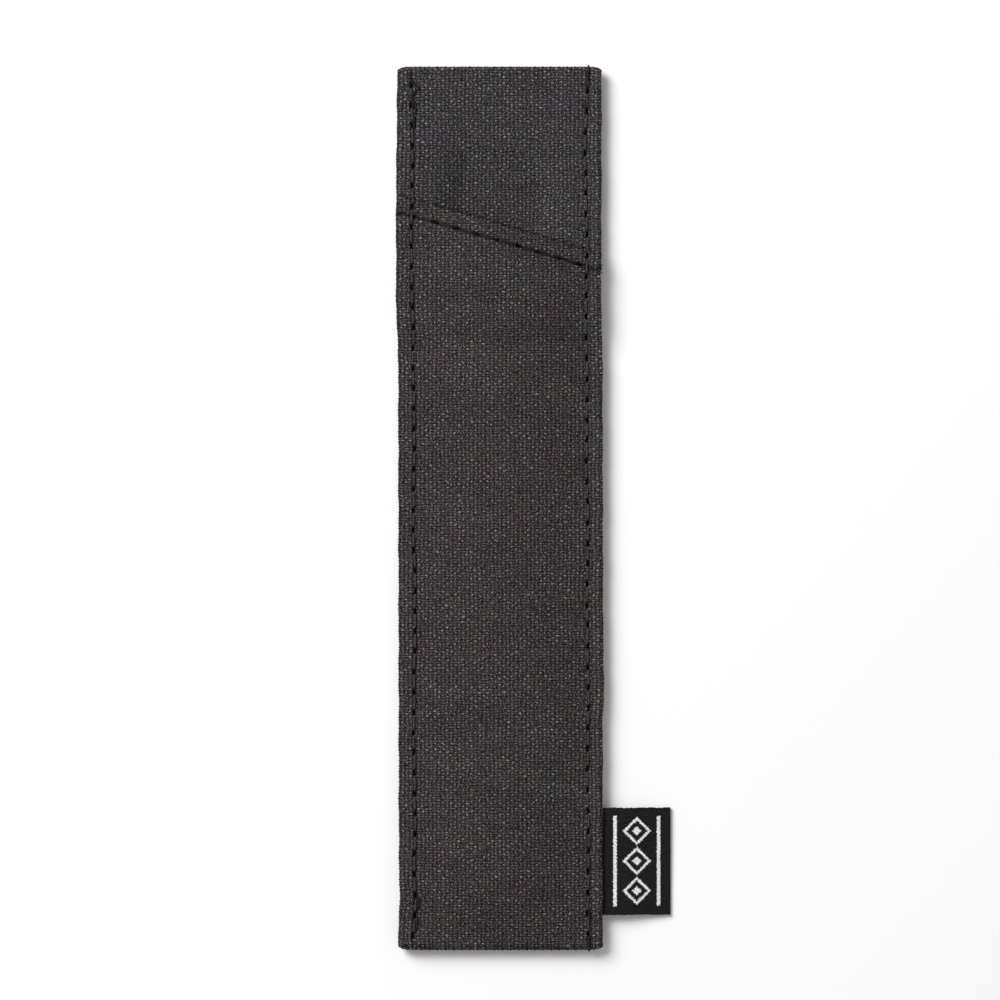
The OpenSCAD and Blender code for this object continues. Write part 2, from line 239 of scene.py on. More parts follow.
def woven_polyester(name, gap, weft, dot):
    """A plain weave with one cell to each crossing, shifted by slow and by fine noise, so that no
    yarn runs straight. A cell's humps are half sines. Where the lengthwise yarn is on top, their
    product is a dot of random strength, and elsewhere the crosswise yarn falls off to the gap's
    colour. Grain, melange and blotches then scale the colour, and the painted shade darkens it to
    black, or paints it paler where it is below zero."""
    material, tree = new_material(name)
    strip = node(tree, "UVMap", uv_map="strip").outputs[0]
    slow = node(tree, "TexNoise", {"Vector": strip, "Scale": WANDER, "Detail": 2.0}).outputs["Color"]
    fast = node(tree, "TexNoise", {"Vector": strip, "Scale": SNAG, "Detail": 1.0}).outputs["Color"]
    slow = node(
        tree, "VectorMath", {0: slow, 1: (1.0, 1.0, 0), 2: (-0.5, -0.5, 0)}, operation="MULTIPLY_ADD"
    ).outputs[0]
    waver = node(
        tree, "VectorMath", {0: fast, 1: (1.25, 1.25, 0), 2: slow}, operation="MULTIPLY_ADD"
    ).outputs[0]
    per_yarn = (1 / (WARP * MM), 1 / (WEFT * MM), 0)
    cells = node(
        tree, "VectorMath", {0: strip, 1: per_yarn, 2: waver}, operation="MULTIPLY_ADD"
    ).outputs[0]
    cell = node(tree, "VectorMath", {0: cells}, operation="FLOOR").outputs[0]
    turn = node(tree, "VectorMath", {0: cells, "Scale": np.pi}, operation="SCALE").outputs[0]
    humps = node(tree, "VectorMath", {0: turn}, operation="SINE").outputs[0]
    humps = node(tree, "VectorMath", {0: humps}, operation="ABSOLUTE").outputs[0]
    hump = node(tree, "SeparateXYZ", {0: humps})
    warp_up = node(
        tree, "TexChecker",
        {"Vector": cells, "Scale": 1.0, "Color1": (1, 1, 1, 1), "Color2": (0, 0, 0, 1)},
    ).outputs["Fac"]
    thin = node(tree, "Math", {0: hump.outputs[0], 1: 2.2}, operation="POWER").outputs[0]
    long = node(tree, "Math", {0: hump.outputs[1], 1: 0.9}, operation="POWER").outputs[0]
    dot_form = node(tree, "Math", {0: thin, 1: long}, operation="MULTIPLY").outputs[0]
    round_dot = node(
        tree, "MapRange", {"Value": dot_form, "From Min": 0.2, "From Max": 0.85},
        interpolation_type="SMOOTHSTEP",
    ).outputs[0]
    chance = node(tree, "TexWhiteNoise", {"Vector": cell}, noise_dimensions="3D").outputs["Value"]
    shine = node(tree, "MapRange", {"Value": chance, "To Min": 0.5, "To Max": 1.0}).outputs[0]
    dots = node(tree, "Math", {0: round_dot, 1: warp_up}, operation="MULTIPLY").outputs[0]
    dots = node(tree, "Math", {0: dots, 1: shine}, operation="MULTIPLY").outputs[0]
    ridge = node(tree, "Math", {0: hump.outputs[1], 1: 0.5}, operation="POWER").outputs[0]
    under = node(tree, "MapRange", {"Value": warp_up, "To Min": 1.0, "To Max": 0.4}).outputs[0]
    crossing = node(
        tree, "MapRange", {"Value": hump.outputs[0], "To Min": 0.72, "To Max": 1.0}
    ).outputs[0]
    ridge = node(tree, "Math", {0: ridge, 1: under}, operation="MULTIPLY").outputs[0]
    ridge = node(tree, "Math", {0: ridge, 1: crossing}, operation="MULTIPLY").outputs[0]
    fibre = node(tree, "TexNoise", {"Vector": strip, "Scale": GRAIN, "Detail": 2.0}).outputs["Fac"]
    fibre = node(
        tree, "MapRange",
        {"Value": fibre, "From Min": 0.33, "From Max": 0.67, "To Min": 0.12, "To Max": 1.66},
    ).outputs[0]
    ground = node(tree, "MixRGB", {0: ridge, 1: linear(gap), 2: linear(weft)}).outputs[0]
    spotted = node(tree, "MixRGB", {0: dots, 1: ground, 2: linear(dot)}).outputs[0]
    spotted = node(tree, "VectorMath", {0: spotted, "Scale": fibre}, operation="SCALE").outputs[0]
    streaks = node(tree, "VectorMath", {0: cells, 1: (0.12, 0.28, 0)}, operation="MULTIPLY").outputs[0]
    melange = node(tree, "TexNoise", {"Vector": streaks, "Scale": 1.0, "Detail": 2.0}).outputs["Color"]
    melange = node(
        tree, "VectorMath", {0: melange, 1: (0.38, 0.38, 0.38), 2: (0.81, 0.81, 0.81)},
        operation="MULTIPLY_ADD",
    ).outputs[0]
    blotch = node(tree, "TexNoise", {"Vector": streaks, "Scale": 0.35, "Detail": 3.0}).outputs["Fac"]
    blotch = node(
        tree, "MapRange",
        {"Value": blotch, "From Min": 0.3, "From Max": 0.7, "To Min": 0.89, "To Max": 1.11},
    ).outputs[0]
    tinted = node(tree, "VectorMath", {0: spotted, 1: melange}, operation="MULTIPLY").outputs[0]
    tinted = node(tree, "VectorMath", {0: tinted, "Scale": blotch}, operation="SCALE").outputs[0]
    shade = node(tree, "Attribute", attribute_name="shade").outputs["Fac"]
    lit = node(
        tree, "MapRange", {"Value": shade, "To Min": 1.0, "To Max": 0.0}, clamp=False
    ).outputs[0]
    colour = node(tree, "VectorMath", {0: tinted, "Scale": lit}, operation="SCALE").outputs[0]
    relief = node(tree, "Math", {0: dots, 1: ridge}, operation="ADD").outputs[0]
    bump = node(tree, "Bump", {"Height": relief, "Strength": 0.5, "Distance": 0.1 * MM}).outputs[0]
    finish_material(tree, colour, bump, roughness=0.85, specular=0.04)
    return material


# The polyurethane coat on the cloth's inner face: thin, dull and slightly uneven.
COAT_GRAIN = 1800.0       # noise cells to a metre: 0.56 mm each


def polyurethane_coat():
    """Charcoal that fine noise varies between two tones and dimples a little."""
    material, tree = new_material("polyurethane_coat")
    place = node(tree, "TexCoord").outputs["Object"]
    grain = node(tree, "TexNoise", {"Vector": place, "Scale": COAT_GRAIN, "Detail": 4.0}).outputs["Fac"]
    colour = node(tree, "MixRGB", {0: grain, 1: linear("#242222"), 2: linear("#383536")}).outputs[0]
    bump = node(tree, "Bump", {"Height": grain, "Strength": 0.3, "Distance": 0.05 * MM}).outputs[0]
    finish_material(tree, colour, bump, roughness=0.5, specular=0.2)
    return material


cloth = woven_polyester("woven_polyester", "#0f0e0e", "#4c4647", "#7b7879")
# A slightly cooler copy of the cloth, as painted sheen where the yarns lie the other way.
turned_sheen_cloth = woven_polyester("woven_polyester_turned_sheen", "#0f0e0e", "#4d494a", "#7d7d7f")
coat = polyurethane_coat()


def back_middle(x, y, part):
    """Height of the middle of the cloth on the back wall, and of the facing that lies on it."""
    down = belly(x, y)
    back = BACK_EDGE_Z * (1 - down) + LAYER / 2
    facing = (STACK_Z + FOLD_R) * (1 - down) + (back + LAYER + FACING_GAP) * down
    return np.where(part == 3, facing, back)


row_y, out_y, out_z, part = strip_path(BACK_STEP, FOLD_ROWS)
columns = np.linspace(SPLIT_X, -SPLIT_X, round(8 * SPLIT_X / WARP))  # four to a yarn
grid_x, grid_y = np.broadcast_arrays(columns[None, :], row_y[:, None])
grid_part = np.broadcast_to(part[:, None], grid_x.shape)
folded_y = grid_y + FOLD_R * out_y[:, None]
folded_z = STACK_Z + FOLD_R * out_z[:, None] + 0 * grid_x
laid_z = back_middle(grid_x, grid_y, grid_part)
height = np.where(grid_part % 2 == 1, laid_z, folded_z)
along = arc_length(row_y + FOLD_R * out_y, FOLD_R * out_z)[:, None]
end_fold = np.where(grid_part % 2 == 1, 0.0, 1.0)
back_cloth = sheet_piece(
    "back_cloth", np.stack([moved(grid_x, folded_y), folded_y, height], -1), grid_x, along,
    CLOTH_T, [turned_sheen_cloth, coat], relief=YARN_RELIEF * yarns(grid_x, along + END_PHASE) * end_fold,
)
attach(back_cloth, "sleeve")
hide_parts("back_panel", "top_facing")


# The side edges of the back and of its facing: the same strip, turned inwards along both sides.
# Each edge is a J of two layers, sewn through 2.8 mm inside the fold, so the stitches draw a groove.
LEFT_PITCH, RIGHT_PITCH = 3.78, 3.84
LEFT_START, RIGHT_START = 3.45, 0.72  # from the top edge to the first needle hole
SEAM_END = 1.5            # no hole lies nearer to the bottom edge
GROOVE, HOLE_DENT = 0.09, 0.22  # how deep the groove of a seam is, and a needle hole's pit
GROOVE_W, HOLE_L, HOLE_W = 0.34, 0.66, 0.3  # from the middle of a mark to where it has mostly faded
TACK_Y, LOW_TACK_Y, TACK_FADE = {-1: 70.2, 1: 78.2}, -77.5, 0.8  # the seam is sewn twice beyond
GROOVE_SHADE, TACK_SHADE = 0.22, 0.4  # how dark the groove's painted shade is, and how much darker it is painted where sewn twice
FINE_X, FINE_STEP = 17.3, 0.13  # the mesh round the stitches is fine up to here
RELIEF_X, RELIEF_FADE = 17.0, 1.2  # real yarns stand up from here to the fold
half_l = facing_high[1]
left_holes = np.arange(half_l - LEFT_START, -half_l + SEAM_END, -LEFT_PITCH)
right_holes = np.arange(half_l - RIGHT_START, -half_l + SEAM_END, -RIGHT_PITCH)
seam_jitter = np.random.default_rng(11)
left_holes = left_holes + seam_jitter.uniform(-0.12, 0.12, len(left_holes))
right_holes = right_holes + seam_jitter.uniform(-0.15, 0.15, len(right_holes))


def seam_x(side, y):
    """Distance of a side seam's stitches from the middle, which wanders as a hand-guided seam does."""
    if side < 0:
        places = [-80, -75, -68, -57, -42, -31, -23, -12, -4, 7, 19, 27, 34, 49, 64, 80]
        return np.interp(y, places, [
            16.25, 16.0, 16.15, 15.9, 16.2, 16.05, 15.9, 15.9,
            16.25, 16.05, 16.0, 16.3, 15.95, 16.25, 16.0, 16.5,
        ])
    places = [-79, -75, -64, -49, -41, -33, -14, -2, 7, 21, 33, 41, 50, 62, 70, 81]
    return np.interp(y, places, [
        16.45, 16.25, 16.5, 16.2, 16.4, 16.2, 16.15, 16.35,
        16.05, 16.25, 16.1, 16.35, 16.45, 16.05, 16.05, 16.6,
    ])


def seam_marks(side, x, y):
    """How deep a side seam presses into the cloth, and the shade painted there: a Gaussian groove along
    the stitches, painted darker where they were sewn twice, and a flat-topped pit round each hole,
    painted black as the shade inside a needle hole."""
    off = np.abs(x) - seam_x(side, y)
    near = np.exp(-(off / GROOVE_W) ** 2)
    holes = left_holes if side < 0 else right_holes
    at_hole = np.exp(-((y[..., None] - holes) / HOLE_L) ** 6).max(-1) * np.exp(-(off / HOLE_W) ** 4)
    twice = np.maximum(ease((y - TACK_Y[side]) / TACK_FADE), ease((LOW_TACK_Y - y) / TACK_FADE))
    shade = np.maximum(at_hole, (GROOVE_SHADE + TACK_SHADE * twice) * near)
    return GROOVE * near + HOLE_DENT * at_hole, shade


def painted_edge_light(x):
    """Painted light on the turned edges, which lie flat outside the seams and catch more light: the
    cloth is an eighth paler there, easing in over half a millimetre."""
    return 0.12 * ease((np.abs(x) - 16.6) / 0.5)


def edge_section(start_x, spacing):
    """A folded edge seen along the sleeve: the outer layer from start_x out to the fold, a half
    circle, and the turned layer back in. Gives x, the drop below the outer layer and the distance."""
    fine = np.arange(SPLIT_X, FINE_X, FINE_STEP)
    inner = np.linspace(start_x, SPLIT_X, round((SPLIT_X - start_x) / spacing) + 1)[:-1]
    outer = np.concatenate([inner, fine, np.linspace(FINE_X + 0.05, FOLD_X, 6)])
    bend = np.linspace(0, np.pi, 9)[1:]
    turned = np.linspace(FOLD_X, TURN_X, 7)[1:]
    x = np.concatenate([outer, FOLD_X + LAYER / 2 * np.sin(bend), turned])
    drop = np.concatenate([0 * outer, LAYER / 2 * (1 - np.cos(bend)), 0 * turned + LAYER])
    return x, drop, start_x + arc_length(x, drop)


for side, label in ((-1, "left"), (1, "right")):
    row_y, out_y, out_z, part = strip_path(WEFT / 2, FOLD_ROWS)
    edge_x, drop, across = edge_section(SPLIT_X, 1.0)
    order = slice(None, None, -side)
    edge_x, drop, across = edge_x[order], drop[order], across[order]
    radius = FOLD_R - drop[None, :]
    grid_y = row_y[:, None] + radius * out_y[:, None]
    grid_z = STACK_Z + radius * out_z[:, None]
    grid_x = np.broadcast_to(side * edge_x[None, :], grid_y.shape)
    grid_z = grid_z - label_bulge(grid_x, grid_y) * (part == 1)[:, None]
    outer_layer = (drop == 0)[None, :] & (part % 2 == 1)[:, None]
    dent, shade = seam_marks(side, grid_x, grid_y)
    along = arc_length(row_y + FOLD_R * out_y, FOLD_R * out_z)[:, None]
    fade = np.maximum(ease((across[None, :] - RELIEF_X) / RELIEF_FADE), (part % 2 == 0)[:, None])
    weave = yarns(side * (across[None, :] + SIDE_PHASE), along - along[FOLD_ROWS - 1])
    fold = sheet_piece(
        f"back_fold_{label}",
        np.stack([moved(grid_x, grid_y), drawn_in(grid_x, grid_y), grid_z], -1),
        side * across[None, :], along, CLOTH_T, [turned_sheen_cloth, coat],
        relief=YARN_RELIEF * weave * fade, dent=dent * outer_layer,
        shade=(shade - painted_edge_light(grid_x)) * outer_layer,
    )
    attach(fold, "sleeve")


# The front wall: the same strip again, from the bottom fold up to the slanted mouth.
# Its edges are turned under and sewn down, and between the seams it bows up when a pen goes in.
front_high = np.array(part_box("front_panel")[1]) / MM
left_edge_high = np.array(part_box("left_front_edge")[1]) / MM
right_edge_low, right_edge_high = (np.array(corner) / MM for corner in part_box("right_front_edge"))
MOUTH_SLOPE = (right_edge_high[1] - left_edge_high[1]) / (right_edge_low[0] + HALF_W)
CLIMB_L, FRONT_RISE = 6.0, 40.0  # lengths over which the edges climb and the middle rises
BOW_X = 16.0              # the bow ends at the seams
mouth_rise = front_high[2] - LAYER / 2 - (STACK_Z + 3.5 * LAYER)
low_rise = 0.85 * mouth_rise
SLACK = 0.6               # how much of its full height an empty front keeps
LEVEL_Y, FAN_ROWS = 30.0, 110  # rows lie level up to here, and fan out to the slant above
HEM_PITCH, HEM_IN = 4.0, 3.4  # from hole to hole of the mouth's seam, and from its fold to the seam
HEM_HOLE_L, HEM_HOLE_W = 0.62, 0.36
HEM_SHADE, FOLD_SHADE, FOLD_SHADE_W = 0.72, 0.55, 0.4  # painted shade in the groove and along the fold, and the width of the fold's shade


def mouth_y(x):
    """Where the mouth's fold lies along the sleeve: a straight line that drops to the right."""
    return left_edge_high[1] + MOUTH_SLOPE * (x + HALF_W)


def front_edge_z(y):
    """Underside of the front's edges: on the back's edges, and higher where the facing lies between."""
    return STACK_Z + 2 * LAYER * ease((y - FACING_Y + CLIMB_L) / CLIMB_L)


def front_middle(x, y):
    """Middle of the front's outer layer: flat on its turned edge outside the stitches, and bowed
    between them as one less the square of x, to the power one and a half, with two faint waves."""
    share = ease((y - FACING_Y + FRONT_RISE) / FRONT_RISE)
    rise = SLACK * ease((y + END_Y) / BOTTOM_TAPER) * (low_rise + (mouth_rise - low_rise) * share)
    bow = np.clip(1 - (x / BOW_X) ** 2, 0, 1) ** 1.5
    waves = 0.05 * np.sin(y / 6.1 + x / 9) + 0.06 * np.sin(y / 13.7 - x / 5 + 1)
    return front_edge_z(y) + 1.5 * LAYER + (rise + waves) * bow + label_bulge(x, y)


def hem_marks(x, y):
    """How deep the mouth's seam presses in, and the shade painted in its groove and holes and along
    the fold's edge: as at the sides, on a slant."""
    off = (y - mouth_y(x) + HEM_IN) / np.sqrt(1 + MOUTH_SLOPE ** 2)
    near = np.exp(-(off / GROOVE_W) ** 4)
    at_hole = np.exp(-((x[..., None] - hem_holes) / HEM_HOLE_L) ** 6).max(-1)
    at_hole = at_hole * np.exp(-(off / HEM_HOLE_W) ** 4)
    fold = FOLD_SHADE * np.exp(-((mouth_y(x) - y) / FOLD_SHADE_W) ** 2)
    shade = np.maximum(at_hole, np.maximum(HEM_SHADE * near, fold))
    return 1.3 * GROOVE * near + HOLE_DENT * at_hole, shade


hem_step = HEM_PITCH / np.sqrt(1 + MOUTH_SLOPE ** 2)
hem_holes = np.arange(-4, 5) * hem_step - 0.5
MOUTH_BEND = (LAYER + CLOTH_T) / 2

fronts = []
for side, label in ((-1, "left"), (1, "right")):
    edge_x, drop, across = edge_section(0.0, WARP / 2)
    order = slice(None, None, side)
    edge_x, drop, across = edge_x[order], drop[order], across[order]
    level = np.arange(-END_Y, LEVEL_Y, WEFT / 2)
    fan = np.linspace(0, 1, FAN_ROWS)
    flat_x = side * edge_x[None, :]
    mouth_end = mouth_y(flat_x) - MOUTH_BEND
    grid_y = np.concatenate([
        np.broadcast_to(level[:, None], (len(level), len(edge_x))),
        LEVEL_Y + fan[:, None] * (mouth_end - LEVEL_Y),
    ])
    grid_x = np.broadcast_to(flat_x, grid_y.shape)
    outer_layer = np.broadcast_to(drop == 0, grid_y.shape)
    turned_z = front_edge_z(grid_y) + 1.5 * LAYER - drop + label_bulge(grid_x, grid_y)
    grid_z = np.where(outer_layer, front_middle(grid_x, grid_y), turned_z)
    side_dent, side_shade = seam_marks(side, grid_x, grid_y)
    hem_dent, hem_shade = hem_marks(grid_x, grid_y)
    along = grid_y + END_Y
    fade = ease((across[None, :] - RELIEF_X) / RELIEF_FADE)
    weave = yarns(side * (across[None, :] + SIDE_PHASE), along)
    shade = np.maximum(side_shade, hem_shade) - painted_edge_light(grid_x)
    front = sheet_piece(
        f"front_cloth_{label}",
        np.stack([moved(grid_x, grid_y), drawn_in(grid_x, grid_y), grid_z], -1),
        side * across[None, :], along, CLOTH_T, [cloth, coat],
        relief=YARN_RELIEF * weave * fade, dent=(side_dent + hem_dent) * outer_layer,
        shade=shade * outer_layer,
    )
    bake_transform(front)
    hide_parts("front_panel", f"{label}_front_edge")
    fronts.append(front)


# The mouth's hem: the front's end, folded under along the slant before the sides were turned.
# The fold is round and soft, and the hem shows only as a second layer inside the mouth.
HEM_DEPTH, NARROW_HEM = 5.2, 0.3  # the hem's depth between the turned edges, and over them
HEM_ARC = 0.63            # length of the cloth round the hem's fold
for front, side, label in zip(fronts, (-1, 1), ("left", "right")):
    flat = np.arange(0, FOLD_X, WARP / 2)
    corner = np.linspace(0, 0.47 * np.pi, 6)
    edge_x = np.concatenate([flat, FOLD_X + LAYER / 2 * np.sin(corner)])[None, ::side]
    sunk = np.concatenate([0 * flat, LAYER / 2 * (1 - np.cos(corner))])[None, ::side]
    tight = np.concatenate([0 * flat + 1, np.cos(corner)])[None, ::side]
    bend = np.linspace(0, np.pi, 9)
    strip = np.linspace(0, 1, 9)[1:]
    depth = NARROW_HEM + (HEM_DEPTH - NARROW_HEM) * ease((TURN_X - 0.2 - edge_x) / 0.6)
    start_y = mouth_y(side * edge_x) - MOUTH_BEND
    ahead = np.concatenate([LAYER / 2 * np.sin(bend)[:, None] * tight, -strip[:, None] * depth])
    below = np.concatenate([
        LAYER / 2 * (1 - np.cos(bend))[:, None] * tight,
        np.broadcast_to(LAYER * tight + 0.02, (len(strip), edge_x.shape[1])),
    ])
    grid_x = np.broadcast_to(side * edge_x, ahead.shape)
    grid_y = start_y + ahead
    grid_z = front_middle(grid_x, np.minimum(grid_y, start_y)) - sunk - below
    along = start_y + END_Y + np.concatenate([LAYER / 2 * bend, HEM_ARC + strip * HEM_DEPTH])[:, None]
    fade = np.concatenate([np.sin(bend), 0 * strip])[:, None]
    # The fold's rounded crest is painted up to eight tenths darker: painted shade where it turns under.
    hem = sheet_piece(
        f"mouth_fold_{label}", np.stack([moved(grid_x, grid_y), grid_y, grid_z], -1), grid_x, along,
        CLOTH_T, [cloth, coat], relief=YARN_RELIEF * yarns(grid_x, along) * fade,
        shade=0.8 * fade * np.ones(grid_x.shape),
    )
    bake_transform(hem)
    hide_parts("mouth_hem")


# The side seams' threads: two-ply polyester, the needle thread on top and the bobbin thread below.
# Each dives into every needle hole and is sewn back over itself at the ends. The left seam's ends in
# a loose loop at the top, and the right seam's wraps both ends of the sleeve.
THREAD_R = 0.2
PLY_TWIST = 1.3           # the two plies change places over this length
NEEDLE_DIP, BOBBIN_DIP, BESIDE_RISE = 0.8, 0.3, 0.1
WRAP_GAP = 0.14           # from the cloth to the middle of the thread round its ends


def stitch_height(place, holes, dip):
    """Height of a stitched thread at places along its seam: level along each stitch, and a smooth
    step down by the dip from 0.95 to 0.4 mm beside each hole."""
    nearest = np.abs(place[:, None] - holes).min(1)
    return 0.1 - dip * (1 - ease((nearest - 0.4) / 0.55))


def thread_piece(name, paths, sideways, material, radius=THREAD_R, sides=8):
    """Round threads along lines of points: rings square to each line, their radius swelling twice
    a turn and winding along the thread as two plies do, closed by a point at both ends."""
    points, faces, winding = [], [], []
    count = 0
    for path, across in zip(paths, sideways):
        ahead = np.gradient(path, axis=0)
        ahead /= np.linalg.norm(ahead, axis=1, keepdims=True)
        across = across / np.linalg.norm(across)
        across = across - ahead * (ahead @ across)[:, None]
        across /= np.linalg.norm(across, axis=1, keepdims=True)
        upward = np.cross(across, ahead)
        turn = np.linspace(0, 2 * np.pi, sides, endpoint=False)[None, :]
        length = arc_length(*path.T)[:, None]
        swell = radius * (1 + 0.13 * np.cos(2 * turn - 2 * np.pi * length / PLY_TWIST))
        swell = swell * np.clip(np.minimum(length, length[-1] - length) / radius, 0.05, 1)
        around = np.cos(turn)[..., None] * across[:, None] + np.sin(turn)[..., None] * upward[:, None]
        points.append((path[:, None] + swell[..., None] * around).reshape(-1, 3))
        winding.append(np.stack(np.broadcast_arrays(turn / (2 * np.pi), length), -1).reshape(-1, 2))
        index = count + np.arange(len(path) * sides).reshape(-1, sides)
        ahead_index = np.roll(index, -1, axis=1)
        quads = (index[:-1], index[1:], ahead_index[1:], ahead_index[:-1])
        faces += np.stack([q.ravel() for q in quads], 1).tolist()
        faces += [index[0].tolist(), index[-1, ::-1].tolist()]
        count += len(path) * sides
    mesh = bpy.data.meshes.new(name)
    mesh.from_pydata((np.concatenate(points) * MM).tolist(), [], faces)
    mesh.polygons.foreach_set("use_smooth", np.ones(len(mesh.polygons), bool))
    corners = np.empty(len(mesh.loops), np.int32)
    mesh.loops.foreach_get("vertex_index", corners)
    twist_map = mesh.uv_layers.new(name="twist")
    twist_map.data.foreach_set("uv", np.concatenate(winding)[corners].astype(np.float32).ravel())
    mesh.materials.append(material)
    piece = bpy.data.objects.new(name, mesh)
    bpy.context.scene.collection.objects.link(piece)
    return piece


# Spun polyester sewing thread, dyed to match the cloth: smooth, with the faint slant of its plies.
# A darker copy draws it where it is pulled deep into the mouth's groove, as painted shade, and
# also draws the backtacks and the hem's frayed tails, which look nearly black.
def sewing_thread(name, dark, pale):
    """Two tones that wind along the thread: a sine of twice the angle round it and of the length."""
    material, tree = new_material(name)
    twist = node(tree, "UVMap", uv_map="twist").outputs[0]
    place = node(tree, "SeparateXYZ", {0: twist})
    turned = node(
        tree, "Math", {0: place.outputs[1], 1: 1 / PLY_TWIST, 2: place.outputs[0]},
        operation="MULTIPLY_ADD",
    )
    angle = node(tree, "Math", {0: turned.outputs[0], 1: 4 * np.pi}, operation="MULTIPLY")
    wave = node(tree, "Math", {0: angle.outputs[0]}, operation="SINE").outputs[0]
    ply = node(tree, "MapRange", {"Value": wave, "From Min": -1.0}).outputs[0]
    colour = node(tree, "MixRGB", {0: ply, 1: linear(dark), 2: linear(pale)}).outputs[0]
    bump = node(tree, "Bump", {"Height": ply, "Strength": 0.4, "Distance": 0.05 * MM}).outputs[0]
    finish_material(tree, colour, bump, roughness=0.7, specular=0.06)
    return material


thread = sewing_thread("polyester_thread", "#312e2e", "#4e4948")
# The same thread, darker: painted shade for where it lies deep in the mouth's groove.
dark_shaded_thread = sewing_thread("dark_shaded_polyester_thread", "#1a1818", "#302d2d")


def seam_top(x, y):
    """Upper face along a side seam: the facing's above the mouth, and the front's below it."""
    lower = front_edge_z(y) + 2 * LAYER
    return np.where(y > mouth_y(x), STACK_Z + 2 * LAYER, lower) + label_bulge(x, y)


for side, label, holes in ((-1, "left", left_holes), (1, "right", right_holes)):
    tack_ends = {
        -1: [(holes[:3] - 1.3, -0.3), (holes[-3:] + 1.5, 0.42), (holes[-3:] + 0.4, -0.5)],
        1: [(holes[:3] - 1.2, 0.3), (holes[-2:] + 1.4, -0.3)],
    }[side]
    upper, lower = [], []
    for row, beside in [(holes, 0.0)] + tack_ends:
        place = np.arange(row.min(), row.max() + 0.07, 0.14)
        rise = stitch_height(place, row, NEEDLE_DIP)
        x = side * seam_x(side, place) - beside
        top = seam_top(x, place)
        smooth_top = np.convolve(np.pad(top, 4, mode="edge"), np.ones(9) / 9, mode="valid")
        above = smooth_top - 0.6 * GROOVE + rise + BESIDE_RISE * (beside != 0)
        upper.append(np.stack([moved(x, place), place, above], -1))
        under = BACK_EDGE_Z - label_bulge(x, place)
        lower.append(np.stack([moved(x, place), place, under + 0.6 * GROOVE - rise], -1))
    if side < 0:
        knots = np.array([
            [-16.7, 80.3], [-16.3, 79.3], [-15.0, 78.6], [-16.0, 77.8],
            [-17.0, 76.7], [-16.0, 76.1], [-15.8, 75.0], [-15.9, 73.4],
        ])
        fine = np.linspace(0, len(knots) - 1, 90)
        loose = [np.interp(fine, np.arange(len(knots)), column) for column in knots.T]
        loose = [
            np.convolve(np.pad(line, 6, mode="edge"), np.ones(13) / 13, mode="valid") for line in loose
        ]
        upper.append(np.stack([*loose, STACK_Z + 2 * LAYER + 0.12 + 0 * fine], -1))
    else:
        bend = np.linspace(0, np.pi, 12)
        wrap_r = 2 * LAYER + WRAP_GAP
        for end in (-1, 1):
            run = np.linspace(END_Y - 2, END_Y, 8)[:-1]
            wrap_y = end * np.concatenate([run, END_Y + wrap_r * np.sin(bend), run[::-1]])
            wrap_z = STACK_Z + wrap_r * np.concatenate([0 * run + 1, np.cos(bend), 0 * run - 1])
            upper.append(np.stack([moved(seam_x(1, wrap_y), wrap_y), wrap_y, wrap_z], -1))
    flat = np.array([1.0, 0, 0])
    needle = thread_piece(f"{label}_needle_stitches", upper[:1], [flat], thread)
    backtack = thread_piece(
        f"{label}_needle_backtack", upper[1:], [flat] * len(upper[1:]), dark_shaded_thread
    )
    bobbin = thread_piece(f"{label}_bobbin_stitches", lower, [flat] * len(lower), thread)
    for piece, thread_node in ((needle, "needle"), (backtack, "needle"), (bobbin, "bobbin")):
        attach(piece, "sleeve")
        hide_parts(f"{label}_{thread_node}_thread")


# The mouth hem's threads: the same thread across the whole front, along the slant.
# It follows the front's bow between the seams, and its tails are trimmed close outside both edges.
HEM_END, HEM_SINK = 18.9, 0.34  # where the seam ends, and how deep its thread is drawn in
for side, label in ((-1, "left"), (1, "right")):
    place = np.arange(-HEM_END, HEM_END, 0.15)
    place = place[side * place >= -0.01]
    rise = stitch_height(place, hem_holes, NEEDLE_DIP)
    line_y = mouth_y(place) - HEM_IN
    top = front_middle(place, line_y) + LAYER / 2
    sag = 0.25 * ease((np.abs(place) - 18.3) / 0.6)
    needle_path = np.stack([moved(place, line_y), line_y, top - HEM_SINK + rise - sag], -1)
    inside = side * place <= TURN_X
    under = front_middle(place, line_y) - 1.5 * LAYER - 0.05
    drop = stitch_height(place, hem_holes, BOBBIN_DIP)
    bobbin_path = np.stack([place, line_y, under - drop], -1)[inside]
    slant = np.array([-MOUTH_SLOPE, 1.0, 0])
    # The needle thread uses the darker copy, as painted shade in the groove it sinks into.
    needle = thread_piece(f"mouth_needle_stitches_{label}", [needle_path], [slant], dark_shaded_thread)
    bobbin = thread_piece(f"mouth_bobbin_stitches_{label}", [bobbin_path], [slant], thread)
    for piece in (needle, bobbin):
        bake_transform(piece)
    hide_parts("mouth_needle_thread", "mouth_thread_ends")
    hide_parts("mouth_bobbin_thread")

